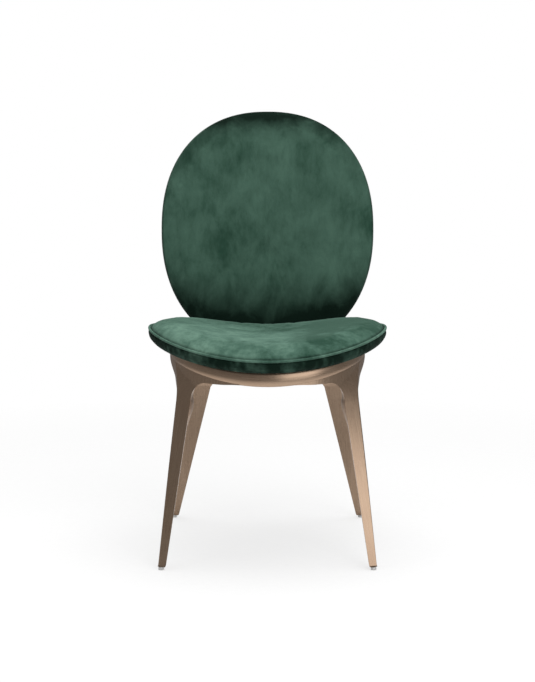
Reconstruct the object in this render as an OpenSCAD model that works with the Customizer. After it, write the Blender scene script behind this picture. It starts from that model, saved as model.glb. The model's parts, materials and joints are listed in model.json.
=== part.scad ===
// Dining chair: a saddle-bent round seat and an oval back, both upholstered, on a metal ring with four legs.
// Millimetres, +Z up, the sitter faces -Y. The origin is on the floor under the middle of the whole chair.

/* [Seat] */
// Radius of the seat's outline seen from above
seat_r = 269; // [260:1:275]
// Height of the seat board's underside at its centre line
board_z = 431.5; // [430:0.5:435]
// Radius of the saddle bend, which lifts the two sides of the seat
saddle_r = 870; // [830:1:1100]
// Thickness of the seat's plywood board
board_t = 12; // [9:0.5:15]
// Thickness of the seat's foam
seat_foam_t = 40; // [34:1:42]
// Thickness of the velvet with its backing
cover_t = 2; // [1.5:0.1:2.5]
// Height of the sewn side band of the seat
boxing_h = 25; // [20:1:30]
// Radius of the seat's piping cord
piping_r = 2.8; // [2:0.1:3.5]

/* [Base ring] */
// Outer radius of the ring under the seat
ring_r = 218.5; // [215:0.1:222]
// Thickness of the ring's wall
ring_t = 6; // [5:0.5:8]
// Height of the arches' tops beside the legs
ring_z = 400.6; // [399:0.1:402]
// Radius of the bend that lifts the ring's lower edge towards the sides
ring_bend_r = 650; // [620:1:720]

/* [Legs] */
// Width of the arch between a leg and the ring
arch_w = 37; // [34:1:39]
// Height of that arch
arch_h = 47; // [42:1:50]
// Depth of a leg from front to rear at the floor
foot_depth = 18; // [16:0.5:22]
// Height of a leg's end above the floor
foot_z = 7.6; // [7.2:0.1:9]
// Radius of a floor glide
glide_r = 6; // [5:0.5:7]

/* [Back] */
// Half of the back's greatest width
back_a = 254; // [248:1:260]
// Half of the back's height along its own slope
back_b = 288.5; // [284:0.5:292]
// Lean of the back from upright
back_lean = 9; // [7:0.5:11]
// Radius of the back's curve seen from above
back_bend_r = 900; // [800:10:1200]
// Thickness of the back's moulded board
back_board_t = 11; // [9:0.5:13]
// Thickness of the foam in front of the board
back_foam_t = 30; // [26:1:34]
// Thickness of the foam behind the board
rear_foam_t = 6; // [4:0.5:8]

/* [Brackets and screws] */
// Distance of each back bracket from the chair's middle plane
bracket_x = 45; // [40:1:50]
// Width of each back bracket
bracket_w = 36; // [30:1:38]
// Thickness of the brackets' steel
bracket_t = 6; // [5:0.5:6]
// Radius of the screws' shanks
screw_r = 3; // [2.5:0.5:3]

/* [Hidden] */

$fn = 64;
round_fn = 256;
gap = 0.3;

// The chair is worked out about the seat's centre, then shifted so that its box is centred on Y.
shift_y = -47.2;

// Seat outline: a circle, a flatter rear arc that follows the back, and rounded corners between them.
seat_y = 9;
seat_rear_y = 215.5;
corner_r = 30;
rear_arc_y = seat_rear_y - back_bend_r;
corner_d = seat_y - rear_arc_y;
corner_a = (pow(back_bend_r - corner_r, 2) - pow(seat_r - corner_r, 2) + pow(corner_d, 2)) / (2 * corner_d);
corner_y = rear_arc_y + corner_a;
corner_x = sqrt(pow(back_bend_r - corner_r, 2) - pow(corner_a, 2));
side_angle = atan2(corner_y - seat_y, corner_x);
rear_angle = atan2(corner_a, corner_x);

function arc(cx, cy, r, a0, a1, n) =
    [for (i = [0:n]) let (a = a0 + (a1 - a0) * i / n) [cx + r * cos(a), cy + r * sin(a)]];

function seat_outline(inset, n = 60) = concat(
    arc(0, seat_y, seat_r - inset, -180 - side_angle, side_angle, n),
    arc(corner_x, corner_y, corner_r - inset, side_angle + 4, rear_angle - 4, 6),
    arc(0, rear_arc_y, back_bend_r - inset, rear_angle, 180 - rear_angle, 12),
    arc(-corner_x, corner_y, corner_r - inset, 184 - rear_angle, 176 - side_angle, 6)
);

// Height that a bend of radius r has gained at a distance x from the middle plane.
function bend(x, r) = r - sqrt(r * r - x * x);
function layer_z(x, height) = board_z + saddle_r - sqrt(pow(saddle_r - height, 2) - x * x);

// Ring and legs share a centre. Leg shapes are worked out in u, sideways, and v, away from that centre.
// A leg starts to flare into the ring at flare_z.
ring_y = -14;
ring_in_r = ring_r - ring_t;
dust_t = 1;
crease_r = 590;
crease_rise = 36;
ring_drop = 1.2;
flare_z = ring_z - arch_h + 0.5;

// One leg's laws. At the floor and gained per height: the inner edge, the outer edge and the outward face.
// In degrees: where on the ring the face leaves it, the wing's tip and the side wing, and the foot's turn.
// Last, the bow of the outer edge and the radius at which the outward face bends back to the ring.
front_law = [219.9, 0.1492, 236.0, 0.0985, 213.5, 0.225, 34, 15.6, 63.5, 8, 0.00002, 109];
rear_law = [218.8, 0.2487, 236.0, 0.18, 270.0, 0.262, 22, 19.5, 53, 8, 0.00005, 454];
flare_bend_r = 261;

function u_in(law, z) = z < flare_z
    ? law[0] - law[1] * z
    : law[0] - law[1] * flare_z - arch_w + arch_w * sqrt(max(0, 1 - pow((z - flare_z) / arch_h, 2)));
function u_out(law, z) = law[2] - law[3] * z - law[10] * z * z + pow(max(0, z - flare_z), 2) / (2 * flare_bend_r);
function v_out(law, z) = law[4] - law[5] * z - pow(max(0, z - flare_z), 2) / (2 * law[11]);
function depart_u(law) = ring_r * sin(law[6]);
function depart_v(law) = ring_r * cos(law[6]);
function top_slope(law, z) = (depart_v(law) - v_out(law, z)) / (u_out(law, z) - depart_u(law));
function face_slope(law, z) = z < flare_z
    ? tan(law[9]) + (top_slope(law, flare_z) - tan(law[9])) * z / flare_z
    : top_slope(law, z);
function lerp(a, b, t) = a + (b - a) * t;

// Azimuth on the ring of the leg's side wing: an arch that starts at the flare and runs out under the seat.
function side_azimuth(law, z, s) = law[8]
    + 4.5 * max(0, z - flare_z) / (ring_z - flare_z)
    + 6 * s + 14 * s * s;
function side_edge(law, z, s) = z < flare_z
    ? lerp([law[2], law[4] - foot_depth],
           ring_r * [sin(law[8]), cos(law[8])], z / flare_z)
    : ring_r * [sin(side_azimuth(law, z, s)), cos(side_azimuth(law, z, s))];

face_n = 12;
side_n = 7;
row_n = face_n + side_n + 2;
hollow_j = 9;

// The wings lie on the ring's outside, and thin out towards the crease at their top.
function wing_r(s) = ring_r + 0.8 - 0.45 * s;

// Point j of a leg's outer path: along the outward face, round the outer corner, along the side.
function outer_point(law, z, s, az0, j) =
    let (
        h = z + crease_rise * s,
        corner = [u_out(law, h), v_out(law, h)],
        m = face_slope(law, h),
        reach = corner[1] + m * corner[0],
        edge = side_edge(law, z, s),
        side = (edge - corner) / norm(edge - corner),
        face = [-1, m] / norm([1, m]),
        az = lerp(az0, atan2(corner[0] + 2 * face[0], corner[1] + 2 * face[1]), j / (face_n - 1)),
        on_wing = z >= flare_z && az < law[6],
        p = j < face_n ? (on_wing ? ring_r : reach / (cos(az) + m * sin(az))) * [sin(az), cos(az)]
            : j == face_n ? corner + 0.7 * (face + side)
            : lerp(corner + 2 * side, edge, (j - face_n - 1) / side_n)
    )
    z < flare_z ? p : p * max(1, wing_r(s) / norm(p));

// Point j of the leg's inner path: under the ring's wall and round the leg's inner corner, or up the wall.
function inner_point(law, z, s, az0, az1, j) =
    let (
        above = s > 0.65,
        r_in = above ? ring_r + 0.25 : ring_in_r,
        m = face_slope(law, z),
        tip_u = z < flare_z ? u_in(law, z) : ring_r * sin(az0),
        face_v = v_out(law, z) + m * (u_out(law, z) - tip_u),
        tip = above ? r_in * [sin(az0), cos(az0)]
            : z < flare_z ? [tip_u, face_v - min(9, foot_depth / 3 + z / 40)]
            : [min(tip_u, ring_in_r * sin(az0 + 2)), sqrt(max(1, pow(ring_in_r, 2) - pow(tip_u, 2)))],
        edge = side_edge(law, z, s),
        end = above ? r_in * [sin(az1), cos(az1)] : edge - [min(7, 3 + z / 80), 0],
        depth = foot_depth + (46 - foot_depth) * min(z, flare_z) / flare_z,
        hollow = [tip_u, face_v - depth],
        body = max(0, 1 - max(0, z - flare_z) / (ring_z - flare_z)),
        az = lerp(atan2(tip[0], tip[1]), atan2(end[0], end[1]), j / (row_n - 1)),
        on_arc = r_in * [sin(az), cos(az)],
        on_body = j <= hollow_j
            ? lerp(tip, hollow, j / hollow_j)
            : lerp(hollow, end, (j - hollow_j) / (row_n - 1 - hollow_j))
    )
    j == 0 ? tip : j == row_n - 1 ? end : lerp(on_arc, on_body, body);

// Height of a point: the foot is cut square to the leg, and the top rows rise to the crease.
function row_z(law, z, s, p) = z < 1
    ? foot_z + 0.1 * (p[0] - law[2] + 6) + 0.1 * (p[1] - law[4] + 9)
    : z + s * p[0] * p[0] / (2 * crease_r) + (z < ring_z ? 0 : (1 - s) * tip_lift(law, p[0]));

// Height that lets a wing's tip start level with the ring's lower edge.
function tip_lift(law, u) = (bend(u, ring_bend_r) - ring_drop)
    * pow(max(0, 1 - (u - ring_r * sin(law[7])) / 45), 2);

function leg_row(law, z, s, wing) =
    let (
        corner = [u_in(law, z), v_out(law, z) + face_slope(law, z) * (u_out(law, z) - u_in(law, z))],
        az0 = wing ? law[7] : atan2(corner[0], corner[1]),
        edge = side_edge(law, z, s),
        az1 = atan2(edge[0], edge[1]),
        outer = [for (j = [0:row_n - 1]) outer_point(law, z, s, az0, j)],
        inner = [for (j = [row_n - 1:-1:0]) inner_point(law, z, s, az0, az1, j)]
    )
    [for (p = concat(outer, inner)) [p[0], p[1], row_z(law, z, s, p)]];

leg_rows = concat(
    [for (z = [0, 60, 120, 180, 240, 300, 340]) [z, 0, false]],
    [for (i = [0:6]) [flare_z + arch_h * sin(i * 13.5), 0, false]],
    [for (s = [0, 0.2, 0.4, 0.6, 0.7, 0.8, 0.9, 1]) [ring_z, s, true]]
);

module leg_solid(law) {
    rows = [for (r = leg_rows) leg_row(law, r[0], r[1], r[2])];
    n = 2 * row_n;
    last = (len(rows) - 1) * n;
    polyhedron(
        points = [for (row = rows) for (p = row) p],
        faces = concat(
            [for (k = [0:len(rows) - 2]) for (i = [0:n - 1])
                let (a = k * n + i, b = k * n + (i + 1) % n) each [[a, b, b + n], [a, b + n, a + n]]],
            [for (j = [0:row_n - 2]) each [[n - 1 - j, j + 1, j], [n - 1 - j, n - 2 - j, j + 1]]],
            [for (j = [0:row_n - 2]) each
                [[last + n - 1 - j, last + j, last + j + 1], [last + n - 1 - j, last + j + 1, last + n - 2 - j]]]
        )
    );
}

// Places children made for the rear right corner at any of the four corners.
module corner_at(side, end) {
    translate([0, shift_y + ring_y, 0]) mirror([side < 0 ? 1 : 0, 0, 0]) mirror([0, end < 0 ? 1 : 0, 0]) children();
}

// Axis of a leg's end, along which its bush and its glide's stud lie.
function foot_lean(law) = [atan(law[5] + 0.03), -atan((law[1] + law[3]) / 2)];
module along_foot(law) {
    translate([law[2] - 7.4, law[4] - foot_depth / 2 + 0.6, foot_z])
        rotate([foot_lean(law)[0], foot_lean(law)[1], 0]) children();
}

bush_r = 4.5;
bush_l = 14;
stud_r = 2.5;

module leg(law) {
    difference() {
        leg_solid(law);
        along_foot(law) translate([0, 0, -5]) cylinder(r = bush_r, h = bush_l + 5 + gap);
    }
}

module glide(law) {
    translate([law[2] - 7.4, law[4] - foot_depth / 2 + 0.6, 0]) cylinder(r = glide_r, h = foot_z - 1.1);
    along_foot(law) translate([0, 0, -3]) cylinder(r = stud_r, h = bush_l + 1);
}

// Ring
module ring_band() {
    translate([0, shift_y + ring_y, 0]) rotate_extrude($fn = round_fn)
        translate([ring_in_r, ring_z - 5]) square([ring_t, 70]);
}

// A solid block under a saddle surface whose lowest line is at height z.
module under_saddle(z, r) {
    translate([-300, -400, z - 60]) cube([600, 800, 60 + bend(299, r)]);
}
module saddle_roll(z, r) {
    translate([0, 400, z + r]) rotate([90, 0, 0]) cylinder(r = r, h = 800, $fn = round_fn * 2);
}
module seat_roll(height) { saddle_roll(board_z + height, saddle_r - height); }

module apron_ring() {
    color([0.52, 0.43, 0.35]) difference() {
        ring_band();
        seat_roll(-dust_t - 0.2);
        difference() {
            under_saddle(ring_z - ring_drop, ring_bend_r);
            saddle_roll(ring_z - ring_drop, ring_bend_r);
        }
        for (side = [-1, 1])
            translate([side * bracket_x - bracket_w / 2 - gap, 100, bracket_z - gap])
                cube([bracket_w + 2 * gap, 150, 30]);
    }
}

metal = [0.55, 0.46, 0.37];
module front_left_leg() { color(metal) corner_at(-1, -1) leg(front_law); }
module front_right_leg() { color(metal) corner_at(1, -1) leg(front_law); }
module rear_left_leg() { color(metal) corner_at(-1, 1) leg(rear_law); }
module rear_right_leg() { color(metal) corner_at(1, 1) leg(rear_law); }

module leg_end_bushes() {
    color([0.7, 0.7, 0.72]) for (side = [-1, 1]) for (end = [-1, 1])
        let (law = end < 0 ? front_law : rear_law)
        corner_at(side, end) along_foot(law) difference() {
            translate([0, 0, 0.8]) cylinder(r = bush_r, h = bush_l - 0.8);
            translate([0, 0, -1]) cylinder(r = stud_r, h = bush_l + 2);
        }
}

nylon = [0.62, 0.62, 0.62];
module front_left_glide() { color(nylon) corner_at(-1, -1) glide(front_law); }
module front_right_glide() { color(nylon) corner_at(1, -1) glide(front_law); }
module rear_left_glide() { color(nylon) corner_at(-1, 1) glide(rear_law); }
module rear_right_glide() { color(nylon) corner_at(1, 1) glide(rear_law); }

// Seat fixings: four tabs welded inside the ring, and the two back brackets, each take one screw.
tab_azimuths = [35, 112];
tab_r = 198;
tab_spots = [for (side = [-1, 1]) for (a = tab_azimuths) [side * tab_r * sin(a), ring_y - tab_r * cos(a)]];
bracket_spots = [for (side = [-1, 1]) [side * bracket_x, 150]];
screw_spots = concat(tab_spots, bracket_spots);
tab_t = 5;

module on_saddle(spot) {
    translate([spot[0], shift_y + spot[1], layer_z(spot[0], 0)])
        rotate([0, -asin(spot[0] / saddle_r), 0]) children();
}

module seat_tabs() {
    color(metal) for (spot = tab_spots) intersection() {
        difference() {
            on_saddle(spot) rotate([0, 0, atan2(spot[1] - ring_y, spot[0])])
                translate([-16, -18, -dust_t - gap - tab_t]) cube([60, 36, tab_t]);
            on_saddle(spot) translate([0, 0, -20]) cylinder(r = screw_r + 0.4, h = 30);
        }
        translate([0, shift_y + ring_y, 300]) cylinder(r = ring_in_r - 0.1, h = 200, $fn = round_fn);
    }
}

head_h = 3.5;
head_r = 5.2;
washer_t = 1.2;
washer_r = 7;
nut_r = 4;
nut_flange_r = 9;
nut_flange_t = 1.5;
clamp_t = dust_t + gap + tab_t;
bracket_clamp_t = dust_t + bracket_t + 0.1 + bend(bracket_x, saddle_r) + gap;

module screw(clamp, reach) {
    translate([0, 0, -clamp - washer_t - head_h]) difference() {
        cylinder(r = head_r, h = head_h);
        translate([0, 0, -1]) cylinder(r = 2.3, h = 3, $fn = 6);
    }
    translate([0, 0, -clamp - washer_t - 0.01]) cylinder(r = screw_r, h = clamp + washer_t + reach);
}
module washer(clamp) {
    translate([0, 0, -clamp - washer_t]) difference() {
        cylinder(r = washer_r, h = washer_t);
        translate([0, 0, -1]) cylinder(r = screw_r + 0.3, h = washer_t + 2);
    }
}
module tee_nut(thickness) {
    difference() {
        union() {
            cylinder(r = nut_r, h = thickness + 0.01);
            translate([0, 0, thickness]) cylinder(r = nut_flange_r, h = nut_flange_t);
        }
        translate([0, 0, -1]) cylinder(r = screw_r + 0.1, h = thickness + nut_flange_t + 2);
    }
}

module seat_screws() {
    color([0.2, 0.2, 0.2]) {
        for (spot = tab_spots) on_saddle(spot) screw(clamp_t, board_t);
        for (spot = bracket_spots) on_saddle(spot) screw(bracket_clamp_t, board_t);
    }
}
module seat_washers() {
    color([0.7, 0.7, 0.7]) {
        for (spot = tab_spots) on_saddle(spot) washer(clamp_t);
        for (spot = bracket_spots) on_saddle(spot) washer(bracket_clamp_t);
    }
}
module seat_tee_nuts() {
    color([0.7, 0.65, 0.5]) for (spot = screw_spots) on_saddle(spot) tee_nut(board_t);
}

// Seat: every layer is bent about the same axis, and is placed by its heights over the board's underside.
// The covers stand back from the outline by side_inset, so that the piping stands proud of them.
side_inset = 3.4;
foam_inset = side_inset + cover_t + gap;
module seat_prism(inset) {
    translate([0, shift_y, board_z - 30]) linear_extrude(height = 180) polygon(seat_outline(inset));
}
module bent_slab(inset, low, high) {
    intersection() {
        seat_prism(inset);
        difference() {
            seat_roll(low);
            seat_roll(high);
        }
    }
}

board_inset = 14;
module seat_board() {
    color([0.78, 0.64, 0.45]) difference() {
        bent_slab(board_inset, 0, board_t);
        for (spot = screw_spots) on_saddle(spot) translate([0, 0, -2]) cylinder(r = nut_r + 0.05, h = board_t + 4);
    }
}

// The foam lies on the board and comes down round its edge.
crown_h = board_t + seat_foam_t;
module seat_foam() {
    color([0.9, 0.85, 0.6]) difference() {
        bent_slab(foam_inset, 0.1, crown_h - 0.1);
        bent_slab(board_inset - gap, -1, board_t + 0.1);
        for (spot = screw_spots) on_saddle(spot) cylinder(r = nut_flange_r + 0.5, h = board_t + nut_flange_t + 1);
    }
}

velvet = [0.2, 0.32, 0.27];
module seat_top_cover() {
    low = boxing_h + piping_r + 0.3;
    color([0.3, 0.43, 0.37]) difference() {
        bent_slab(side_inset, low, crown_h + cover_t);
        bent_slab(side_inset + cover_t, low - 1, crown_h);
    }
}

module seat_boxing() {
    color(velvet) difference() {
        bent_slab(side_inset, 0, boxing_h - piping_r);
        seat_prism(side_inset + cover_t);
    }
}

piping_sides = 8;
module seat_piping() {
    line = seat_outline(piping_r);
    n = len(line);
    pts = [for (i = [0:n - 1])
        let (
            p = line[i], q = line[(i + 1) % n], o = line[(i + n - 1) % n],
            t = (q - o) / norm(q - o),
            z = layer_z(p[0], boxing_h + 0.1)
        )
        for (k = [0:piping_sides - 1]) let (a = 360 * k / piping_sides)
            [p[0] + piping_r * cos(a) * t[1], shift_y + p[1] - piping_r * cos(a) * t[0], z + piping_r * sin(a)]];
    color([0.35, 0.5, 0.43]) polyhedron(
        points = pts,
        faces = [for (i = [0:n - 1]) for (k = [0:piping_sides - 1])
            let (
                j = (i + 1) % n, l = (k + 1) % piping_sides,
                a = i * piping_sides + k, b = i * piping_sides + l,
                c = j * piping_sides + l, d = j * piping_sides + k
            ) each [[a, b, c], [a, c, d]]]
    );
}

dust_inset = 20;
module seat_dust_cover() {
    color([0.12, 0.12, 0.12]) difference() {
        bent_slab(dust_inset, -dust_t, -0.1);
        for (spot = screw_spots) on_saddle(spot) translate([0, 0, -5]) cylinder(r = screw_r + 1, h = 10);
    }
}

staple_n = 24;
module dust_cover_staples() {
    r = seat_r - dust_inset - 6;
    color([0.75, 0.75, 0.75]) for (i = [0:staple_n - 1]) {
        a = -215 + 250 * i / (staple_n - 1);
        spot = [r * cos(a), seat_y + r * sin(a)];
        on_saddle(spot) rotate([0, 0, a + 90]) {
            translate([-5, -0.35, -dust_t - 0.6]) cube([10, 0.7, 0.5]);
            for (end = [-1, 1]) translate([end * 4.65 - 0.35, -0.35, -dust_t - 0.6]) cube([0.7, 0.7, 0.5]);
        }
    }
}

// Back: its own frame has X sideways, Y from the front of the board rearwards, and Z up the slope.
back_y = 291;
back_z = 700;
module on_back() {
    translate([0, shift_y + back_y, back_z]) rotate([-back_lean, 0, 0]) children();
}
function back_point(y, z) = [
    back_y + y * cos(back_lean) + z * sin(back_lean),
    back_z - y * sin(back_lean) + z * cos(back_lean)
];
squareness = 2.25;
function back_outline(inset, n = 90) = [for (i = [0:n - 1])
    let (a = 360 * i / n, c = cos(a), s = sin(a))
    [sign(c) * (back_a - inset) * pow(abs(c), 2 / squareness),
     sign(s) * (back_b - inset) * pow(abs(s), 2 / squareness)]];

module back_prism(inset) {
    translate([0, 120, 0]) rotate([90, 0, 0]) linear_extrude(height = 300) polygon(back_outline(inset));
}
module back_roll(y) {
    translate([0, -back_bend_r, -400]) cylinder(r = back_bend_r + y, h = 800, $fn = round_fn * 2);
}
module back_slab(inset, y, t) {
    on_back() intersection() {
        back_prism(inset);
        difference() {
            back_roll(y + t);
            back_roll(y);
        }
    }
}

// Each bracket runs under the seat board, over the ring's rear notch and up the front of the back's board.
bracket_z = board_z - dust_t - 0.1 - bracket_t;
bracket_front = 125;
bracket_face = -2.4;
bracket_top = -120;
function slope_y(y, z) = let (p = back_point(y, 0)) p[0] + (z - p[1]) * tan(back_lean);
bracket_profile = [
    [bracket_front, bracket_z],
    [slope_y(bracket_face, bracket_z), bracket_z],
    back_point(bracket_face, bracket_top),
    back_point(bracket_face - bracket_t, bracket_top),
    [slope_y(bracket_face - bracket_t, bracket_z + bracket_t), bracket_z + bracket_t],
    [bracket_front, bracket_z + bracket_t]
];
module on_bracket(spot) {
    translate([spot[0], shift_y + spot[1], bracket_z + bracket_t]) children();
}
back_screw_z = [-150, -215];
back_screw_spots = [for (side = [-1, 1]) for (z = back_screw_z) [side * bracket_x, z]];
module on_back_screw(spot) {
    on_back() translate([spot[0], bracket_face, spot[1]]) rotate([-90, 0, 0]) children();
}
module along_bracket(side, spare) {
    translate([side * bracket_x - bracket_w / 2 - spare, shift_y, 0]) rotate([90, 0, 90])
        linear_extrude(height = bracket_w + 2 * spare) children();
}
module bracket(side) {
    color([0.25, 0.25, 0.25]) difference() {
        along_bracket(side, 0) polygon(bracket_profile);
        for (spot = bracket_spots) on_bracket(spot) translate([0, 0, -10]) cylinder(r = screw_r + 0.4, h = 20);
        for (spot = back_screw_spots) on_back_screw(spot) translate([0, 0, -12]) cylinder(r = screw_r + 0.4, h = 20);
    }
}
module left_back_bracket() { bracket(-1); }
module right_back_bracket() { bracket(1); }

back_nut_l = back_board_t - bracket_face - 0.7;
module back_screws() {
    color([0.2, 0.2, 0.2]) for (spot = back_screw_spots) on_back_screw(spot) screw(bracket_t, back_nut_l - 1);
}
module back_washers() {
    color([0.7, 0.7, 0.7]) for (spot = back_screw_spots) on_back_screw(spot) washer(bracket_t);
}
module back_tee_nuts() {
    color([0.7, 0.65, 0.5]) for (spot = back_screw_spots)
        on_back_screw(spot) translate([0, 0, 1.4]) tee_nut(back_nut_l - 1.4);
}

module back_board() {
    color([0.78, 0.64, 0.45]) difference() {
        back_slab(cover_t + gap, 0, back_board_t);
        for (spot = back_screw_spots) on_back_screw(spot) translate([0, 0, -5]) cylinder(r = nut_r + 0.05, h = 40);
    }
}

// Room that the brackets and their screws' heads need in the foam and in the covers.
room_front = bracket_face - bracket_t - washer_t - head_h - 0.5;
room_rear = 2.6;
room_profile = [
    [bracket_front + 55, bracket_z - gap],
    [slope_y(room_rear, bracket_z - gap), bracket_z - gap],
    back_point(room_rear, bracket_top + gap),
    back_point(room_front, bracket_top + gap),
    [slope_y(room_front, bracket_z + bracket_t + gap), bracket_z + bracket_t + gap],
    [bracket_front + 55, bracket_z + bracket_t + gap]
];
module bracket_room() {
    for (side = [-1, 1]) along_bracket(side, gap) polygon(room_profile);
}

module back_front_foam() {
    color([0.9, 0.85, 0.6]) difference() {
        back_slab(cover_t + gap, -back_foam_t + 0.1, back_foam_t - 0.2);
        bracket_room();
    }
}
module back_front_cover() {
    color(velvet) difference() {
        back_slab(0, -back_foam_t - cover_t, cover_t);
        bracket_room();
    }
}
module back_rear_foam() {
    color([0.9, 0.85, 0.6]) difference() {
        back_slab(cover_t + gap, back_board_t + 0.1, rear_foam_t - 0.2);
        for (spot = back_screw_spots) on_back_screw(spot) translate([0, 0, back_nut_l - 1])
            cylinder(r = nut_flange_r + 0.5, h = nut_flange_t + 1.6);
    }
}
module back_rear_cover() {
    color(velvet) back_slab(0, back_board_t + rear_foam_t, cover_t);
}
module back_edge_band() {
    color(velvet) difference() {
        back_slab(0, -back_foam_t + 0.1, back_foam_t + back_board_t + rear_foam_t - 0.2);
        on_back() back_prism(cover_t);
        bracket_room();
    }
}

apron_ring();
front_left_leg();
front_right_leg();
rear_left_leg();
rear_right_leg();
leg_end_bushes();
front_left_glide();
front_right_glide();
rear_left_glide();
rear_right_glide();
seat_tabs();
left_back_bracket();
right_back_bracket();
seat_screws();
seat_washers();
seat_tee_nuts();
seat_board();
seat_foam();
seat_top_cover();
seat_boxing();
seat_piping();
seat_dust_cover();
dust_cover_staples();
back_board();
back_front_foam();
back_front_cover();
back_rear_foam();
back_rear_cover();
back_edge_band();
back_screws();
back_washers();
back_tee_nuts();
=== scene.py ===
# Looks of the dining chair: velvet cushions on a brushed bronze base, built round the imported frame.
# Metres, +Z up, the sitter faces -Y.
import json
import math

import bmesh
import bpy
import numpy as np
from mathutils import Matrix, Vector, noise


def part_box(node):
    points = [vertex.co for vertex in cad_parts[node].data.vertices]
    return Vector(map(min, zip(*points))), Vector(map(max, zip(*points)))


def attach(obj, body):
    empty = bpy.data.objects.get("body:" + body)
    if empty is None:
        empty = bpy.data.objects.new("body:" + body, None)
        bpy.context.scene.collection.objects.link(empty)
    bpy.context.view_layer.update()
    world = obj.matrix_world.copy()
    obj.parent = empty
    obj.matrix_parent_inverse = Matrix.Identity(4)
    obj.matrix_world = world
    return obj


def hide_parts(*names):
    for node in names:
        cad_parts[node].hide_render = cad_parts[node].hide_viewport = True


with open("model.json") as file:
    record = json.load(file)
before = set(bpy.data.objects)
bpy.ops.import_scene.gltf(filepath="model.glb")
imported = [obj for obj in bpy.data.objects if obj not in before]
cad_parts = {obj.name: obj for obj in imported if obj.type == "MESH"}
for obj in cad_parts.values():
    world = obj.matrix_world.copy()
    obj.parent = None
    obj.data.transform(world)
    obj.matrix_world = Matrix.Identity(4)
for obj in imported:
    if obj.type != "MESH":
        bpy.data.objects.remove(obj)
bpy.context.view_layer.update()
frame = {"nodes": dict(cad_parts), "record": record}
NODES = frame["nodes"]

# Sizes of the seat and the back, most of them read from the frame.
PIPING_LOW, PIPING_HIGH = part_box("seat_piping")
SEAT_R = PIPING_HIGH.x
SEAT_Y = PIPING_LOW.y + SEAT_R
SEAT_REAR = PIPING_HIGH.y
SADDLE_R = 0.87
BOARD_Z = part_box("seat_board")[0].z
PIPING_R = 0.0028
PIPING_H = PIPING_LOW.z + PIPING_R - BOARD_Z
CROWN_H = 0.0565

BACK_BEND_R = 0.9
BACK_LEAN = math.radians(9)
BACK_LOW, BACK_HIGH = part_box("back_front_cover")
BACK_A = BACK_HIGH.x
BACK_B = 0.2885
BACK_SQUARENESS = 2.25
BACK_ORIGIN = Vector((0, 0.2438, 0.7))

# Sizes of the metal base.
RING_LOW, RING_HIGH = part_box("apron_ring")
RING_R = RING_HIGH.x
RING_T = 0.006
RING_Y = (RING_LOW.y + RING_HIGH.y) / 2
RING_DROP = 0.0012
RING_Z = RING_LOW.z + RING_DROP
RING_BEND_R = 0.65
CREASE_R = 0.59
CREASE_RISE = 0.036
ARCH_W = 0.037
ARCH_H = 0.047
FLARE_Z = RING_Z - ARCH_H + 0.0005
FLARE_BEND_R = 0.261
FOOT_DEPTH = 0.018
FOOT_Z = 0.0076
SOLE_SLOPE = 0.1
GLIDE_IN = 0.006
GLIDE_BACK = 0.009
FACET_DEPTH = 0.009
BODY_DEPTH = 0.046
TIP_REACH = 0.045

# Camera, at the reference view's distance and angle.
VIEW_DISTANCE = 3.467
VIEW_HEIGHT = 0.91
VIEW_PITCH = math.radians(7.37)
VIEW_LENS = 80.7


def bend(x, radius):
    """Height that a bend of this radius has gained at a distance x from the middle plane."""
    return radius - np.sqrt(radius * radius - x * x)


# Meshes

def new_object(name, verts, faces, material, smooth=True):
    mesh = bpy.data.meshes.new(name)
    mesh.from_pydata([tuple(v) for v in verts], [], faces)
    mesh.validate()
    mesh.polygons.foreach_set("use_smooth", [smooth] * len(mesh.polygons))
    mesh.materials.append(material)
    obj = bpy.data.objects.new(name, mesh)
    bpy.context.scene.collection.objects.link(obj)
    return obj


def loft_faces(rows, columns, closed_rows=False):
    """Quads between rows of points, each row closed on itself."""
    faces = []
    for r in range(rows if closed_rows else rows - 1):
        s = (r + 1) % rows
        for c in range(columns):
            d = (c + 1) % columns
            faces.append((r * columns + c, r * columns + d, s * columns + d, s * columns + c))
    return faces


def set_uv(obj, uv_of_vertex):
    layer = obj.data.uv_layers.new(name="UVMap")
    corner = np.zeros(len(obj.data.loops), int)
    obj.data.loops.foreach_get("vertex_index", corner)
    layer.data.foreach_set("uv", np.asarray(uv_of_vertex, float)[corner].ravel())


def set_attribute(obj, name, values):
    layer = obj.data.attributes.new(name, "FLOAT", "POINT")
    layer.data.foreach_set("value", np.asarray(values, np.float32))


def add_bevel(obj, width, segments=2, angle=35):
    bevel = obj.modifiers.new("edges", "BEVEL")
    bevel.width = width
    bevel.segments = segments
    bevel.limit_method = "ANGLE"
    bevel.angle_limit = math.radians(angle)
    bevel.harden_normals = True


def outward(obj):
    """Turns all faces outward."""
    work = bmesh.new()
    work.from_mesh(obj.data)
    bmesh.ops.recalc_face_normals(work, faces=work.faces)
    work.to_mesh(obj.data)
    work.free()


# Materials

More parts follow.
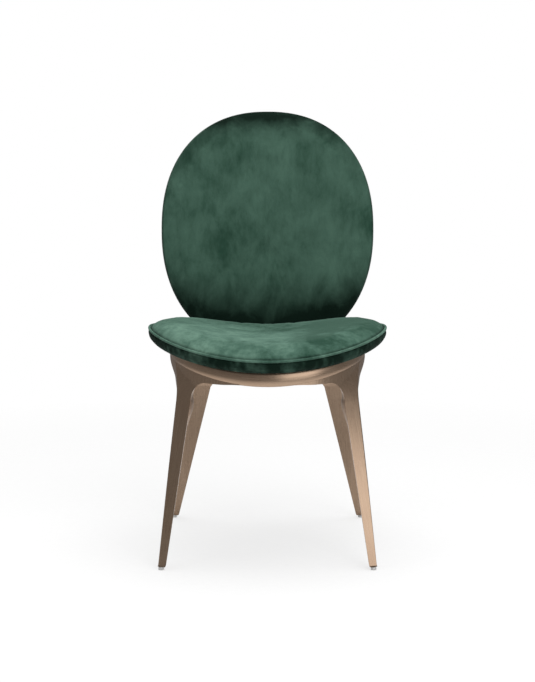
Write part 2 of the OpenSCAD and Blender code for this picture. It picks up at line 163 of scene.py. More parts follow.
class Shader:
    """A short way to write a Principled material's nodes."""

    def __init__(self, name):
        self.material = bpy.data.materials.new(name)
        self.material.use_nodes = True
        self.tree = self.material.node_tree
        self.shader = self.tree.nodes["Principled BSDF"]

    def node(self, kind, settings=None, **inputs):
        made = self.tree.nodes.new(kind)
        for key, value in (settings or {}).items():
            setattr(made, key, value)
        for key, value in inputs.items():
            self.put(made.inputs[key.replace("_", " ")], value)
        return made

    def put(self, socket, value):
        if isinstance(value, bpy.types.NodeSocket):
            self.tree.links.new(value, socket)
        else:
            socket.default_value = value

    def set(self, **inputs):
        for key, value in inputs.items():
            self.put(self.shader.inputs[key.replace("_", " ")], value)

    def coords(self, kind="Object", scale=(1, 1, 1), turn=(0, 0, 0)):
        source = self.node("ShaderNodeTexCoord").outputs[kind]
        return self.node("ShaderNodeMapping", Vector=source, Scale=scale, Rotation=turn).outputs["Vector"]

    def noise(self, vector, scale, detail=3, roughness=0.55, distortion=0.0):
        return self.node("ShaderNodeTexNoise", Vector=vector, Scale=scale, Detail=detail,
                         Roughness=roughness, Distortion=distortion).outputs["Fac"]

    def ramp(self, fac, stops):
        made = self.node("ShaderNodeValToRGB", Fac=fac)
        ramp = made.color_ramp
        while len(ramp.elements) < len(stops):
            ramp.elements.new(0.5)
        for element, (place, colour) in zip(ramp.elements, stops):
            element.position = place
            element.color = (*colour, 1) if len(colour) == 3 else colour
        return made.outputs["Color"]

    def spread(self, fac, low, high, start=0.0, end=1.0):
        return self.node("ShaderNodeMapRange", Value=fac, **{
            "From_Min": start, "From_Max": end, "To_Min": low, "To_Max": high}).outputs["Result"]

    def blend(self, fac, one, two, kind="MIX"):
        made = self.node("ShaderNodeMix", {"data_type": "RGBA", "blend_type": kind})
        self.put(made.inputs[0], fac)
        self.put(made.inputs[6], one)
        self.put(made.inputs[7], two)
        return made.outputs[2]

    def math(self, kind, one, two):
        made = self.node("ShaderNodeMath", {"operation": kind})
        self.put(made.inputs[0], one)
        self.put(made.inputs[1], two)
        return made.outputs[0]

    def bump(self, height, strength, distance, below=None):
        made = self.node("ShaderNodeBump", Height=height, Strength=strength, Distance=distance)
        if below is not None:
            self.put(made.inputs["Normal"], below)
        return made.outputs["Normal"]


def velvet(name, light, mid, dark, streak):
    """Short-pile velvet. The pile lies in soft patches, drawn out along Z by streak.
    The attribute tone makes it lighter or darker. Painted shade from a second attribute takes it towards a
    very dark green and weakens its sheen, in the creases by the seams, at the rims and where other parts
    shade the cushion."""
    s = Shader(name)
    clouds = s.noise(s.coords(scale=(1, 1, streak)), 15, detail=5, roughness=0.6, distortion=0.4)
    brush = s.noise(s.coords(scale=(1, 1, streak * 0.5)), 70, detail=4, roughness=0.65, distortion=0.2)
    pile = s.noise(s.coords(), 1400, detail=2, roughness=0.7)
    tone = s.node("ShaderNodeAttribute", {"attribute_name": "tone"}).outputs["Fac"]
    patches = s.math("ADD", s.math("MULTIPLY", clouds, 0.68), s.math("MULTIPLY", brush, 0.32))
    patches = s.math("ADD", patches, s.math("MULTIPLY", tone, 0.14))
    colour = s.ramp(patches, [(0.32, dark), (0.5, mid), (0.68, light)])
    colour = s.blend(s.spread(pile, 0.0, 0.3, 0.3, 0.8), colour, (*[c * 0.45 for c in dark], 1))
    painted_shade = s.node("ShaderNodeAttribute", {"attribute_name": "painted_shade"}).outputs["Fac"]
    # Painted shade: the colour goes towards a very dark green, with a ragged edge from the clouds, and the
    # sheen weakens with it.
    ragged_shade = s.math("MULTIPLY", painted_shade, s.spread(clouds, 1.35, 0.65, 0.3, 0.7))
    colour = s.blend(ragged_shade, colour, (*[c * 0.22 for c in dark], 1))
    soft = s.bump(patches, 0.2, 0.004)
    s.set(Base_Color=colour, Roughness=0.85, Normal=s.bump(pile, 0.5, 0.0006, soft),
          Sheen_Weight=s.spread(painted_shade, 0.2, 0.02), Sheen_Roughness=0.45, Sheen_Tint=(0.55, 0.85, 0.7, 1),
          Specular_IOR_Level=0.05)
    return s.material


def brushed_bronze():
    """Anodised aluminium with fine grain along the leg, and faint cloudy variation."""
    s = Shader("brushed_bronze")
    grain = s.noise(s.coords("UV", (1, 0.012, 1)), 2400, detail=3, roughness=0.6)
    wide = s.noise(s.coords("UV", (1, 0.03, 1)), 380, detail=3)
    cloud = s.noise(s.coords(), 9, detail=3)
    tone = s.math("ADD", s.math("MULTIPLY", grain, 0.4), s.math("MULTIPLY", wide, 0.6))
    colour = s.ramp(tone, [(0.3, (0.37, 0.262, 0.184)), (0.5, (0.42, 0.302, 0.216)),
                           (0.7, (0.48, 0.352, 0.256))])
    colour = s.blend(s.spread(cloud, 0.0, 0.35, 0.35, 0.7), colour, (0.36, 0.24, 0.168, 1))
    s.set(Base_Color=colour, Metallic=1.0, Roughness=s.spread(grain, 0.24, 0.36, 0.3, 0.7),
          Normal=s.bump(grain, 0.06, 0.0003), Anisotropic=0.3)
    return s.material


def plain_metal(name, colour, roughness, metallic=1.0):
    s = Shader(name)
    grain = s.noise(s.coords(scale=(1, 1, 0.1)), 900, detail=3)
    cloud = s.noise(s.coords(), 40, detail=3)
    dark = (*[c * 0.72 for c in colour], 1)
    s.set(Base_Color=s.blend(s.spread(cloud, 0, 0.6, 0.35, 0.7), (*colour, 1), dark), Metallic=metallic,
          Roughness=s.spread(grain, roughness - 0.08, roughness + 0.1, 0.3, 0.7),
          Normal=s.bump(grain, 0.15, 0.0003))
    return s.material


def nylon():
    s = Shader("glide_nylon")
    speckle = s.noise(s.coords(), 700, detail=2)
    s.set(Base_Color=s.ramp(speckle, [(0.3, (0.42, 0.42, 0.42)), (0.7, (0.56, 0.56, 0.55))]),
          Roughness=0.5, Normal=s.bump(speckle, 0.2, 0.0003))
    return s.material


def plywood():
    s = Shader("plywood")
    rings = s.noise(s.coords(scale=(1, 0.06, 1)), 60, detail=5, distortion=0.8)
    colour = s.ramp(rings, [(0.3, (0.42, 0.26, 0.13)), (0.55, (0.58, 0.40, 0.22)),
                            (0.75, (0.66, 0.49, 0.30))])
    s.set(Base_Color=colour, Roughness=0.7, Normal=s.bump(rings, 0.3, 0.0006))
    return s.material


def dust_cloth():
    """Black spun-bonded cloth with its small pressed squares."""
    s = Shader("dust_cloth")
    squares = s.node("ShaderNodeTexVoronoi", {"distance": "CHEBYCHEV"}, Vector=s.coords(), Scale=520,
                     Randomness=0.15).outputs["Distance"]
    fibres = s.noise(s.coords(), 1300, detail=3)
    s.set(Base_Color=s.ramp(fibres, [(0.3, (0.012, 0.012, 0.013)), (0.7, (0.035, 0.035, 0.037))]),
          Roughness=0.9, Normal=s.bump(s.math("ADD", squares, fibres), 0.4, 0.0004))
    return s.material


def foam_material():
    s = Shader("cream_foam")
    cells = s.node("ShaderNodeTexVoronoi", Vector=s.coords(), Scale=900).outputs["Distance"]
    s.set(Base_Color=s.ramp(cells, [(0.1, (0.62, 0.52, 0.3)), (0.6, (0.8, 0.7, 0.46))]), Roughness=0.95,
          Normal=s.bump(cells, 0.5, 0.0005))
    return s.material


BRONZE = brushed_bronze()
BACK_VELVET = velvet("back_velvet", (0.060, 0.119, 0.088), (0.042, 0.088, 0.064), (0.017, 0.047, 0.031), 0.7)
SEAT_VELVET = velvet("seat_velvet", (0.118, 0.210, 0.160), (0.058, 0.118, 0.088), (0.015, 0.046, 0.030), 1.0)


# Soft spots where the pile is lighter or darker: centre, reach and strength. On the back, the dark spot at
# (0.25, 0.0) is painted shade on the right rim.
SEAT_TONE = [((-0.14, -0.13), 0.07, 0.35), ((-0.03, -0.2), 0.06, 0.3), ((0.2, -0.07), 0.08, -1.9),
             ((0.11, -0.22), 0.04, -1.0), ((-0.22, -0.02), 0.05, -0.4), ((0.03, 0.05), 0.09, -0.9)]
BACK_TONE_AND_RIM_SHADE = [((0.1, 0.02), 0.1, 0.5), ((-0.2, 0.0), 0.05, 0.4), ((-0.14, -0.03), 0.04, -0.6),
             ((0.02, 0.19), 0.05, 0.5), ((-0.12, 0.17), 0.06, -0.4), ((0.17, -0.06), 0.05, 0.5),
             ((0.0, -0.1), 0.08, -0.2), ((0.25, 0.0), 0.03, -1.6), ((0.14, 0.19), 0.05, -0.5)]


# Metal base
#
# A leg's law says how each of its edges runs. in_u and out_u are its inner and outer edges at the floor,
# sideways from the middle plane, and face_v its outward face, away from the ring's centre; the k values
# are their slopes. depart, tip and side are the azimuths on the ring where the face leaves it, where the wing
# ends and where the side edge meets it. turn is the face's turn at the foot, bow the outer edge's curve,
# recede the radius in which the face flares back, and ease the height over which the inner edge eases in.

def front_law():
    return dict(in_u=0.2199, in_k=0.1492, out_u=0.2360, out_k=0.0985, face_v=0.2135, face_k=0.225,
                depart=34, tip=15.6, side=63.5, turn=8, bow=0.02, recede=0.109, ease=0.06)


def rear_law():
    return dict(in_u=0.2188, in_k=0.2487, out_u=0.2360, out_k=0.18, face_v=0.2700, face_k=0.262,
                depart=22, tip=19.5, side=53, turn=8, bow=0.05, recede=0.454, ease=0.001)


def lerp(a, b, t):
    return a + (b - a) * t


def on_ring(radius, azimuth):
    return radius * np.array([math.sin(math.radians(azimuth)), math.cos(math.radians(azimuth))])


def azimuth_of(point):
    return math.degrees(math.atan2(point[0], point[1]))


class LegRow:
    """One level of a leg: its outer and inner paths, in u sideways and v away from the ring's centre."""

    def __init__(self, law, z, s, wing):
        self.law, self.z, self.s, self.wing = law, z, s, wing
        rise = max(0.0, z - FLARE_Z)
        self.u_in = law["in_u"] - law["in_k"] * min(z, FLARE_Z)
        self.u_in -= ARCH_W * (1 - math.sqrt(max(0.0, 1 - (rise / ARCH_H) ** 2)))
        self.u_out, self.v_out, self.slope = self.corner(z + CREASE_RISE * s)
        self.edge = self.side_edge()
        corner = (self.u_in, self.v_out + self.slope * (self.u_out - self.u_in))
        self.start = law["tip"] if wing else azimuth_of(corner)
        self.end = azimuth_of(self.edge)

    def corner(self, z):
        """The outer corner at a height, and the slope of the outward face there."""
        law = self.law
        rise = max(0.0, z - FLARE_Z)
        u = law["out_u"] - law["out_k"] * z - law["bow"] * z * z + rise ** 2 / (2 * FLARE_BEND_R)
        v = law["face_v"] - law["face_k"] * z - rise ** 2 / (2 * law["recede"])
        depart = on_ring(RING_R, law["depart"])
        if z >= FLARE_Z:
            return u, v, (depart[1] - v) / (u - depart[0])
        turn = math.tan(math.radians(law["turn"]))
        return u, v, turn + (self.corner(FLARE_Z)[2] - turn) * z / FLARE_Z

    def side_edge(self):
        law, z, s = self.law, self.z, self.s
        if z < FLARE_Z:
            foot = np.array([law["out_u"], law["face_v"] - FOOT_DEPTH])
            return lerp(foot, on_ring(RING_R, law["side"]), z / FLARE_Z)
        turn = 4.5 * (z - FLARE_Z) / (RING_Z - FLARE_Z) + 6 * s + 14 * s * s
        return on_ring(RING_R, law["side"] + turn)

    def outer(self, faces, sides):
        corner = np.array([self.u_out, self.v_out])
        reach = corner[1] + self.slope * corner[0]
        side = (self.edge - corner) / np.linalg.norm(self.edge - corner)
        face = np.array([-1, self.slope]) / math.hypot(1, self.slope)
        fillet = 0.0014
        last = azimuth_of(corner + fillet * face)
        points = []
        for j in range(faces):
            azimuth = lerp(self.start, last, j / (faces - 1))
            a = math.radians(azimuth)
            on_wing = self.z >= FLARE_Z and azimuth < self.law["depart"]
            on_face = reach / (math.cos(a) + self.slope * math.sin(a))
            points.append(on_ring(RING_R if on_wing else on_face, azimuth))
        points.append(corner + 0.3 * fillet * (face + side))
        points += [lerp(corner + fillet * side, self.edge, j / sides) for j in range(sides + 1)]
        if self.z < FLARE_Z:
            return points
        return [p * max(1.0, (RING_R + 0.0002) / np.linalg.norm(p)) for p in points]

    def inner(self, count):
        z, s = self.z, self.s
        above = s > 0.65
        ring_in = RING_R - RING_T
        radius = RING_R - 0.002 if above else ring_in
        near = min(1.0, max(0.0, 1 - (FLARE_Z - z) / self.law["ease"]))
        near = near * near * (3 - 2 * near)
        wing_u = RING_R * math.sin(math.radians(self.start))
        tip_u = lerp(self.u_in, wing_u, near)
        face_v = self.v_out + self.slope * (self.u_out - tip_u)
        if above:
            tip = on_ring(radius, self.start)
        else:
            on_leg = np.array([self.u_in, face_v - min(FACET_DEPTH, FOOT_DEPTH / 3 + z / 40)])
            in_ring = np.array([min(wing_u, ring_in * math.sin(math.radians(self.start + 2))),
                                math.sqrt(max(1e-6, ring_in ** 2 - wing_u ** 2))])
            tip = lerp(on_leg, in_ring, near)
        end = on_ring(radius, self.end) if above else self.edge - np.array([min(0.007, 0.003 + z / 80), 0])
        depth = FOOT_DEPTH + (BODY_DEPTH - FOOT_DEPTH) * min(z, FLARE_Z) / FLARE_Z
        hollow = np.array([tip_u, face_v - depth])
        body = max(0.0, 1 - max(0.0, z - FLARE_Z) / (RING_Z - FLARE_Z))
        points = []
        turn = round(count * 0.45)
        for j in range(count):
            azimuth = lerp(azimuth_of(tip), azimuth_of(end), j / (count - 1))
            on_arc = on_ring(radius, azimuth)
            if j <= turn:
                on_body = lerp(tip, hollow, j / turn)
            else:
                on_body = lerp(hollow, end, (j - turn) / (count - 1 - turn))
            points.append(lerp(on_arc, on_body, body))
        points[0], points[-1] = tip, end
        return points

    def points(self, faces, sides):
        outer = self.outer(faces, sides)
        inner = self.inner(len(outer))
        path = outer + inner[::-1]
        if self.z < 0.001:
            law = self.law
            return [(u, v, FOOT_Z + SOLE_SLOPE * (u - law["out_u"] + GLIDE_IN)
                     + SOLE_SLOPE * (v - law["face_v"] + GLIDE_BACK)) for u, v in path]
        return [(u, v, self.z + self.s * u ** 2 / (2 * CREASE_R) + self.tip_lift(u)) for u, v in path]

    def tip_lift(self, u):
        """Lets a wing's tip start level with the ring's lower edge."""
        if not self.wing:
            return 0.0
        near = max(0.0, 1 - (u - RING_R * math.sin(math.radians(self.law["tip"]))) / TIP_REACH)
        return (1 - self.s) * (bend(u, RING_BEND_R) - RING_DROP) * near ** 2


def leg(name, law, side, end):
    faces, sides = 26, 12
    levels = [(z, 0.0, False) for z in np.linspace(0, FLARE_Z - 0.012, 34)]
    levels += [(FLARE_Z + ARCH_H * math.sin(math.radians(a)), 0.0, False) for a in np.linspace(0, 81, 22)]
    levels += [(RING_Z, s, True) for s in np.linspace(0, 1, 21)]
    rows = np.array([LegRow(law, *level).points(faces, sides) for level in levels])
    count = rows.shape[1]
    verts = rows.reshape(-1, 3)
    steps = np.linalg.norm(np.diff(rows, axis=1, prepend=rows[:, :1]), axis=2).cumsum(axis=1)
    uv = np.stack([steps.ravel(), verts[:, 2]], axis=1)
    verts = verts * (side, end, 1) + (0, RING_Y, 0)
    last = (len(levels) - 1) * count
    faces_list = loft_faces(len(levels), count)
    half = count // 2
    for j in range(half - 1):
        faces_list.append((j, j + 1, count - 2 - j, count - 1 - j))
        faces_list.append((last + count - 1 - j, last + count - 2 - j, last + j + 1, last + j))
    piece = new_object(name + "_cast", verts, faces_list, BRONZE)
    outward(piece)
    set_uv(piece, uv)
    piece.data.set_sharp_from_angle(angle=math.radians(32))
    add_bevel(piece, 0.0007, 2, 50)
    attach(piece, "root")
    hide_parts(name)
    return piece


def ring():
    """The rolled ring, with its edges rounded, under the seat's saddle and over the arches."""
    segments, fillet = 360, 0.0012
    outer, inner = RING_R, RING_R - RING_T
    section = [(outer, 0, fillet), (outer, 0, 0.02), (outer, 1, -0.02), (outer, 1, -fillet),
               (outer - fillet, 1, 0), (inner + fillet, 1, 0), (inner, 1, -fillet), (inner, 0, fillet),
               (inner + fillet, 0, 0), (outer - fillet, 0, 0)]
    rows = []
    for i in range(segments):
        a = 2 * math.pi * i / segments
        row = []
        for radius, top, offset in section:
            x, y = radius * math.sin(a), radius * math.cos(a)
            low = RING_Z - RING_DROP + bend(x, RING_BEND_R)
            high = layer_z(x, -0.0012)
            near = min(abs(offset), (high - low) * 0.45) * (1 if offset > 0 else -1)
            row.append((x, RING_Y + y, (high if top else low) + near))
        rows.append(row)
    rows = np.array(rows)
    verts = rows.reshape(-1, 3)
    around = np.repeat(np.arange(segments) / segments * 2 * math.pi * outer, len(section))
    piece = new_object("rolled_ring", verts, loft_faces(segments, len(section), True), BRONZE)
    outward(piece)
    across = verts[:, 2] + 0.3 * np.hypot(verts[:, 0], verts[:, 1] - RING_Y)
    set_uv(piece, np.stack([across, around], axis=1))
    piece.data.set_sharp_from_angle(angle=math.radians(50))
    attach(piece, "root")
    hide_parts("apron_ring")


# Cushions

def seat_radius(angle):
    """Distance from the seat's centre to its outline: a circle, cut by the arc that follows the back."""
    ahead = (SEAT_REAR - SEAT_Y) - BACK_BEND_R
    along = np.sin(angle) * ahead
    rear = along + np.sqrt(along ** 2 - ahead ** 2 + BACK_BEND_R ** 2)
    soft = 0.006
    return -soft * np.log(np.exp(-SEAT_R / soft) + np.exp(-rear / soft))


def layer_z(x, height):
    """Height above the floor, at x, of the seat's layer that is this far over the board's underside."""
    return BOARD_Z + SADDLE_R - np.sqrt((SADDLE_R - height) ** 2 - x ** 2)


def seat_point(angle, inset, height):
    radius = seat_radius(angle) * (1 - inset / SEAT_R)
    x, y = radius * np.cos(angle), SEAT_Y + radius * np.sin(angle)
    return np.stack([x, y, layer_z(x, height)], axis=-1)


def seat_section():
    """Inset from the outline and height over the board's underside, from the top's middle round to below."""
    top_insets = np.concatenate([np.linspace(SEAT_R, 0.06, 26), np.geomspace(0.056, 0.0068, 16)])
    crown = CROWN_H - PIPING_H
    top = [(i, PIPING_H + 0.0006 + crown * (1 - math.exp(-(i - 0.006) / 0.024))) for i in top_insets]
    side = [(0.0056, PIPING_H), (0.0042, PIPING_H - 0.0022), (0.0018, PIPING_H - 0.0042),
            (0.0010, 0.0182), (0.0010, 0.0152), (0.0016, 0.0122), (0.0026, 0.0092), (0.0041, 0.0064),
            (0.0061, 0.0039), (0.0085, 0.0018), (0.0112, 0.0003), (0.0138, -0.0009), (0.0160, -0.0013)]
    below = [(0.0185, -0.0013), (0.0203, -0.0011), (0.0212, 0.0004), (0.03, 0.001), (0.12, 0.001),
             (SEAT_R, 0.001)]
    return top, side, below


def rows_mesh(verts):
    """Faces between rows of points that run round a cushion; the first and last rows are single points."""
    start = np.cumsum([0] + [len(v) for v in verts])
    faces = []
    for k in range(len(verts) - 1):
        a, b = start[k], start[k + 1]
        columns = max(len(verts[k]), len(verts[k + 1]))
        for c in range(columns):
            d = (c + 1) % columns
            if len(verts[k]) == 1:
                faces.append((a, b + c, b + d))
            elif len(verts[k + 1]) == 1:
                faces.append((a + d, a + c, b))
            else:
                faces.append((a + c, b + c, b + d, a + d))
    return faces


def settle(piece, pins, calm, pressure, slack, limit):
    """Lets the cover of a cushion settle as cloth under pressure. Pinned points stay, the others move up to
    limit. Points that are calm all move alike, so that the mesh's poles leave no mark."""
    scene = bpy.context.scene
    group = piece.vertex_groups.new(name="pins")
    for index, weight in enumerate(pins):
        group.add([index], float(weight), "REPLACE")
    cloth = piece.modifiers.new("cloth", "CLOTH")
    settings = cloth.settings
    settings.quality = 6
    settings.mass = 0.3
    settings.tension_stiffness = settings.compression_stiffness = 25
    settings.shear_stiffness = 12
    settings.bending_stiffness = 0.6
    settings.tension_damping = settings.compression_damping = 20
    settings.air_damping = 6
    settings.vertex_group_mass = "pins"
    settings.use_pressure = True
    settings.uniform_pressure_force = pressure
    settings.shrink_min = slack
    settings.effector_weights.gravity = 0
    cloth.collision_settings.use_collision = False
    cloth.point_cache.frame_start, cloth.point_cache.frame_end = 1, 20
    count = len(piece.data.vertices)
    rest = np.zeros(count * 3)
    piece.data.vertices.foreach_get("co", rest)
    rest = rest.reshape(-1, 3)
    for step in range(1, 21):
        scene.frame_set(step)
    shape = piece.evaluated_get(bpy.context.evaluated_depsgraph_get()).to_mesh()
    moved = np.zeros(count * 3)
    shape.vertices.foreach_get("co", moved)
    shift = moved.reshape(-1, 3) - rest
    piece.modifiers.remove(cloth)
    scene.frame_set(1)
    length = np.linalg.norm(shift, axis=1)
    shift *= (np.minimum(length, limit) / np.maximum(length, 1e-9))[:, None]
    for side in calm:
        ring_of_points = (side > 0.2) & (side < 0.6)
        shift = shift * (1 - side[:, None]) + shift[ring_of_points].mean(axis=0) * side[:, None]
    piece.data.vertices.foreach_set("co", (rest + shift).ravel())
    piece.data.update()


def near_pole(points, pole):
    return np.exp(-((points - np.array(pole)) ** 2).sum(axis=1) / 0.03 ** 2)


def smooth(piece):
    """One level of subdivision, for a soft outline."""
    subdivision = piece.modifiers.new("smooth", "SUBSURF")
    subdivision.levels = subdivision.render_levels = 1


def spots(points, marks):
    """Sum of soft spots; each mark is a centre, a reach and a strength."""
    total = np.zeros(len(points))
    for centre, reach, strength in marks:
        total += strength * np.exp(-((points - np.array(centre)) ** 2).sum(axis=1) / (2 * reach ** 2))
    return total


def round_noise(angle, scale, level):
    """Noise that closes on itself round a circle."""
    return np.array([noise.noise(Vector((math.cos(a) * scale, math.sin(a) * scale, level))) for a in angle])


def seat_cushion():
    top, side, below = seat_section()
    section = top + side + below
    columns = 240
    angle = 2 * math.pi * np.arange(columns) / columns
    verts, painted_shade, pins = [], [], []
    for k, (inset, height) in enumerate(section):
        if inset >= SEAT_R:
            verts.append(seat_point(0.0, SEAT_R, height)[None])
            painted_shade.append([0.0])
            pins.append([float(k > 0)])
            continue
        row = seat_point(angle, inset, height)
        on_side = len(top) <= k < len(top) + len(side)
        if on_side:
            tuck = math.sin(math.pi * min(1, max(0, height) / PIPING_H))
            pucker = round_noise(angle, 14, height * 30)
            fine = round_noise(angle, 60, height * 50)
            push = (0.0012 * pucker + 0.0010 * fine) * tuck
            row[:, 0] += push * np.cos(angle)
            row[:, 1] += push * np.sin(angle)
            # Painted shade on the boxing, partly the pile's own darker tone: darker where the puckers push
            # in, a little less near the bottom.
            painted_shade.append(np.clip(0.93 + 0.30 * fine - 0.12 * pucker - 0.08 * (height < 0.009), 0, 1))
        elif k < len(top):
            # Painted shade in the crease along the piping.
            painted_shade.append(np.full(columns, max(0.0, 0.85 - (inset - 0.006) / 0.007)))
        else:
            # Painted shade on the underside.
            painted_shade.append(np.full(columns, 0.85))
        from_seam = min(1.0, max(0.0, 1.1 - (inset - 0.006) / 0.04))
        pins.append(np.full(columns, from_seam if k < len(top) else 1.0))
        verts.append(row)
    faces = rows_mesh(verts)
    verts = np.concatenate(verts)
    piece = new_object("seat_cushion", verts, faces, SEAT_VELVET)
    outward(piece)
    set_attribute(piece, "painted_shade", np.concatenate(painted_shade))
    set_attribute(piece, "tone", spots(verts[:, :2], SEAT_TONE))
    settle(piece, np.concatenate(pins), [near_pole(verts, verts[0])], 0.8, -0.008, 0.003)
    smooth(piece)
    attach(piece, "root")
    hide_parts("seat_foam", "seat_top_cover", "seat_boxing")
    return piece


def tube(name, path, radius, material, sides=12):
    """A closed cord along a closed path."""
    ahead = np.roll(path, -1, axis=0) - np.roll(path, 1, axis=0)
    ahead /= np.linalg.norm(ahead, axis=1)[:, None]
    across = np.cross(ahead, (0, 0, 1))
    across /= np.linalg.norm(across, axis=1)[:, None]
    up = np.cross(across, ahead)
    turn = 2 * math.pi * np.arange(sides) / sides
    ring_points = (path[:, None] + radius * (np.cos(turn)[None, :, None] * across[:, None]
                                             + np.sin(turn)[None, :, None] * up[:, None]))
    faces = loft_faces(len(path), sides, True)
    piece = new_object(name, ring_points.reshape(-1, 3), faces, material)
    outward(piece)
    # A slight painted shade all round the cord, and a slightly lighter tone.
    set_attribute(piece, "painted_shade", np.full(len(piece.data.vertices), 0.12))
    set_attribute(piece, "tone", np.full(len(piece.data.vertices), 0.2))
    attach(piece, "root")
    return piece


def seat_piping():
    angle = 2 * math.pi * np.arange(480) / 480
    piece = tube("seat_piping_cord", seat_point(angle, PIPING_R, PIPING_H), PIPING_R, SEAT_VELVET)
    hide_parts("seat_piping")


def back_point(x, y, z):
    """A point in the back's own frame, bent to its curve and leaned back.
    y is the depth behind the board's front."""
    y = np.sqrt((BACK_BEND_R + y) ** 2 - x ** 2) - BACK_BEND_R
    c, s = math.cos(BACK_LEAN), math.sin(BACK_LEAN)
    return np.stack([x, BACK_ORIGIN.y + y * c + z * s, BACK_ORIGIN.z - y * s + z * c], axis=-1)


def back_outline(angle, inset):
    c, s = np.cos(angle), np.sin(angle)
    k = 1 - inset / BACK_A
    power = 2 / BACK_SQUARENESS
    return (np.sign(c) * BACK_A * k * np.abs(c) ** power,
            np.sign(s) * BACK_B * (1 - inset / BACK_B) * np.abs(s) ** power)


def back_cushion():
    insets = np.concatenate([np.linspace(BACK_A, 0.06, 26), np.geomspace(0.056, 0.004, 16)])
    front = [(i, -0.018 - 0.018 * (1 - math.exp(-i / 0.022))) for i in insets]
    band = [(0.0022, -0.0165), (0.0007, -0.0125), (0.0, -0.007), (0.0, 0.0), (0.0005, 0.006),
            (0.002, 0.0105)]
    rear = [(i, 0.012 + 0.008 * (1 - math.exp(-i / 0.03))) for i in insets[::-1]]
    section = front + band + rear
    columns = 240
    angle = 2 * math.pi * (np.arange(columns) + 0.5) / columns
    verts, flat, painted_shade, pins = [], [], [], []
    for k, (inset, depth) in enumerate(section):
        on_front = k < len(front)
        if inset >= BACK_A - 1e-9:
            verts.append(back_point(np.array(0.0), depth, 0.0)[None])
            flat.append(np.zeros((1, 2)))
            painted_shade.append([0.0])
            pins.append([0.0])
            continue
        x, z = back_outline(angle, inset)
        verts.append(back_point(x, depth, z))
        flat.append(np.stack([x, z], axis=1))
        around = 1 - inset / BACK_A
        # Painted shade: darker at the rim, most towards the top and the bottom, in a band across the top, and
        # towards the bottom where the seat shades the back, most at its corners.
        ends = np.clip((around - 0.72) * 2.2, 0, 0.6) * np.clip(np.abs(z) / BACK_B * 1.3 - 0.2, 0, 1)
        low = np.clip((-z / BACK_B - 0.36) * 2.1 * (1 + 0.5 * np.abs(x) / BACK_A), 0, 0.9)
        low = low + np.clip((z / BACK_B - 0.76) * 2.6, 0, 0.6)
        painted_shade.append(np.clip(np.maximum(ends + low, 0.85 - inset / 0.008), 0, 0.97))
        pins.append(np.full(columns, min(1.0, max(0.0, 1.1 - inset / 0.04))))
    faces = rows_mesh(verts)
    verts = np.concatenate(verts)
    piece = new_object("back_cushion", verts, faces, BACK_VELVET)
    outward(piece)
    set_attribute(piece, "painted_shade", np.concatenate(painted_shade))
    set_attribute(piece, "tone", spots(np.concatenate(flat), BACK_TONE_AND_RIM_SHADE))
    poles = [near_pole(verts, verts[0]), near_pole(verts, verts[-1])]
    settle(piece, np.concatenate(pins), poles, 0.8, -0.006, 0.003)
    smooth(piece)
    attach(piece, "root")
    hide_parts("back_front_foam", "back_front_cover", "back_rear_foam", "back_rear_cover",
                "back_edge_band")
    return piece


# Stage

def aim(obj, target):
    obj.rotation_euler = (Vector(target) - obj.location).to_track_quat("-Z", "Y").to_euler()


def area_light(name, place, size, power, target=(0, 0, 0.5), glossy=True):
    light = bpy.data.lights.new(name, "AREA")
    light.shape = "RECTANGLE"
    light.size, light.size_y = size
    light.energy = power
    obj = bpy.data.objects.new(name, light)
    bpy.context.scene.collection.objects.link(obj)
    obj.location = place
    obj.visible_camera = False
    obj.visible_glossy = glossy
    aim(obj, target)


def make_camera():
    camera = bpy.data.objects.new("camera", bpy.data.cameras.new("camera"))
    bpy.context.scene.collection.objects.link(camera)
    camera.location = (0, -VIEW_DISTANCE, VIEW_HEIGHT)
    camera.rotation_euler = (math.pi / 2 - VIEW_PITCH, 0, 0)
    camera.data.lens = VIEW_LENS
    bpy.context.scene.camera = camera


def make_world():
    """White behind the chair, mid grey for the light on it, and a darker room seen in the metal."""
    world = bpy.data.worlds.new("studio")
    bpy.context.scene.world = world
    world.use_nodes = True
    tree = world.node_tree
    path = tree.nodes.new("ShaderNodeLightPath")

    def mixed(fac, one, two):
        mix = tree.nodes.new("ShaderNodeMixShader")
        tree.links.new(fac, mix.inputs[0])
        tree.links.new(one, mix.inputs[1])
        tree.links.new(two, mix.inputs[2])
        return mix.outputs[0]

    def background(level):
        made = tree.nodes.new("ShaderNodeBackground")
        made.inputs["Color"].default_value = (level, level, level, 1)
        return made.outputs[0]

    lit = mixed(path.outputs["Is Glossy Ray"], background(0.42), background(0.24))
    seen = mixed(path.outputs["Is Camera Ray"], lit, background(1))
    tree.links.new(seen, tree.nodes["World Output"].inputs["Surface"])


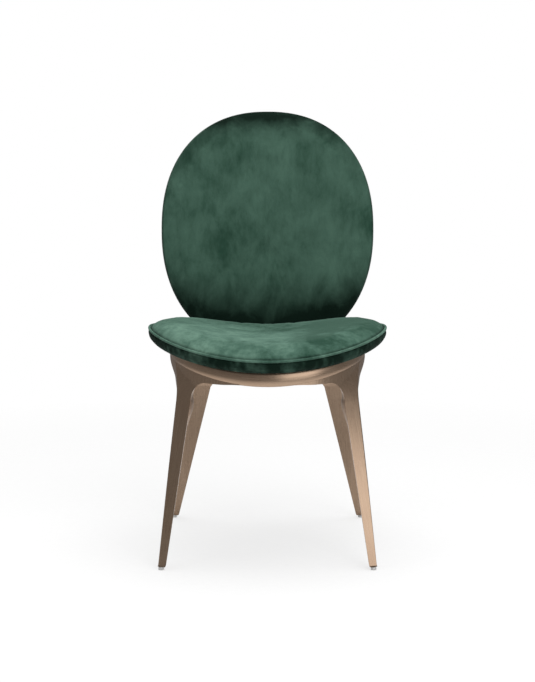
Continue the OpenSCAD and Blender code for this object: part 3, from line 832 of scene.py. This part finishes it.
def make_floor():
    """A pale round floor that fades out towards its rim."""
    radius, rings, columns = 2.6, 24, 96
    verts = [(0.0, 0.0, 0.0)]
    faces = []
    for r in range(1, rings + 1):
        for c in range(columns):
            a = 2 * math.pi * c / columns
            verts.append((radius * r / rings * math.cos(a), radius * r / rings * math.sin(a), 0.0))
    for c in range(columns):
        d = (c + 1) % columns
        faces.append((0, 1 + c, 1 + d))
        for r in range(rings - 1):
            base = 1 + r * columns
            faces.append((base + c, base + columns + c, base + columns + d, base + d))
    s = Shader("floor_paint")
    speckle = s.noise(s.coords(), 60, detail=3)
    s.set(Base_Color=s.ramp(speckle, [(0.3, (0.86, 0.86, 0.86)), (0.7, (0.9, 0.9, 0.9))]), Roughness=0.9)
    distance = s.node("ShaderNodeVectorMath", {"operation": "LENGTH"})
    s.put(distance.inputs[0], s.node("ShaderNodeTexCoord").outputs["Object"])
    clear = s.node("ShaderNodeBsdfTransparent")
    glow = s.node("ShaderNodeEmission", Color=(1, 1, 1, 1))
    bright = s.node("ShaderNodeMixShader")
    s.put(bright.inputs[0], s.math("MULTIPLY", s.node("ShaderNodeLightPath").outputs["Is Camera Ray"], 0.72))
    s.put(bright.inputs[1], s.shader.outputs[0])
    s.put(bright.inputs[2], glow.outputs[0])
    mix = s.node("ShaderNodeMixShader")
    s.put(mix.inputs[0], s.spread(distance.outputs["Value"], 0.0, 1.0, 0.6, 2.0))
    s.put(mix.inputs[1], bright.outputs[0])
    s.put(mix.inputs[2], clear.outputs[0])
    s.put(s.tree.nodes["Material Output"].inputs["Surface"], mix.outputs[0])
    mesh = bpy.data.meshes.new("floor")
    mesh.from_pydata(verts, [], faces)
    mesh.materials.append(s.material)
    floor = bpy.data.objects.new("floor", mesh)
    bpy.context.scene.collection.objects.link(floor)


def make_lights():
    """A tall softbox at the front right, whose edge shows in the metal, and lights that soften the cloth."""
    area_light("key", (1.41, -1.94, 0.98), (1.84, 1.9), 17, target=(0, 0, 0.98))
    area_light("front", (1.4, -3.4, 2.3), (1.6, 1.6), 40, glossy=False)
    area_light("left", (-2.4, -2.2, 1.6), (1.6, 1.6), 14, glossy=False)
    area_light("top", (0.1, 0.1, 2.7), (2.2, 1.8), 60, glossy=False)


# CAD nodes that stay as they are get their materials here.

def dress_nodes():
    steel = plain_metal("plated_steel", (0.55, 0.55, 0.53), 0.35)
    dark = plain_metal("dark_steel", (0.03, 0.03, 0.032), 0.45, 0.3)
    bronze = plain_metal("bronze_tabs", (0.38, 0.29, 0.22), 0.38)
    wood, cloth, white, foam = plywood(), dust_cloth(), nylon(), foam_material()
    looks = {"bronze": bronze, "dark_steel": dark, "plated_steel": steel, "glide_nylon": white,
             "plywood": wood, "foam": foam, "velvet": SEAT_VELVET, "dust_cloth": cloth}
    for part in frame["record"]["subparts"]:
        node = NODES[part["node"]]
        node.data.materials.clear()
        node.data.materials.append(looks[part["material_slot"]])
        if part["material_slot"] in ("glide_nylon", "dark_steel", "bronze"):
            weld = node.modifiers.new("weld", "WELD")
            weld.merge_threshold = 0.00001
            add_bevel(node, 0.0004, 2)


make_camera()
make_world()
make_floor()
make_lights()
dress_nodes()
leg("front_left_leg", front_law(), -1, -1)
leg("front_right_leg", front_law(), 1, -1)
leg("rear_left_leg", rear_law(), -1, 1)
leg("rear_right_leg", rear_law(), 1, 1)
ring()
seat_cushion()
seat_piping()
back_cushion()
bpy.context.scene.view_settings.view_transform = "Standard"
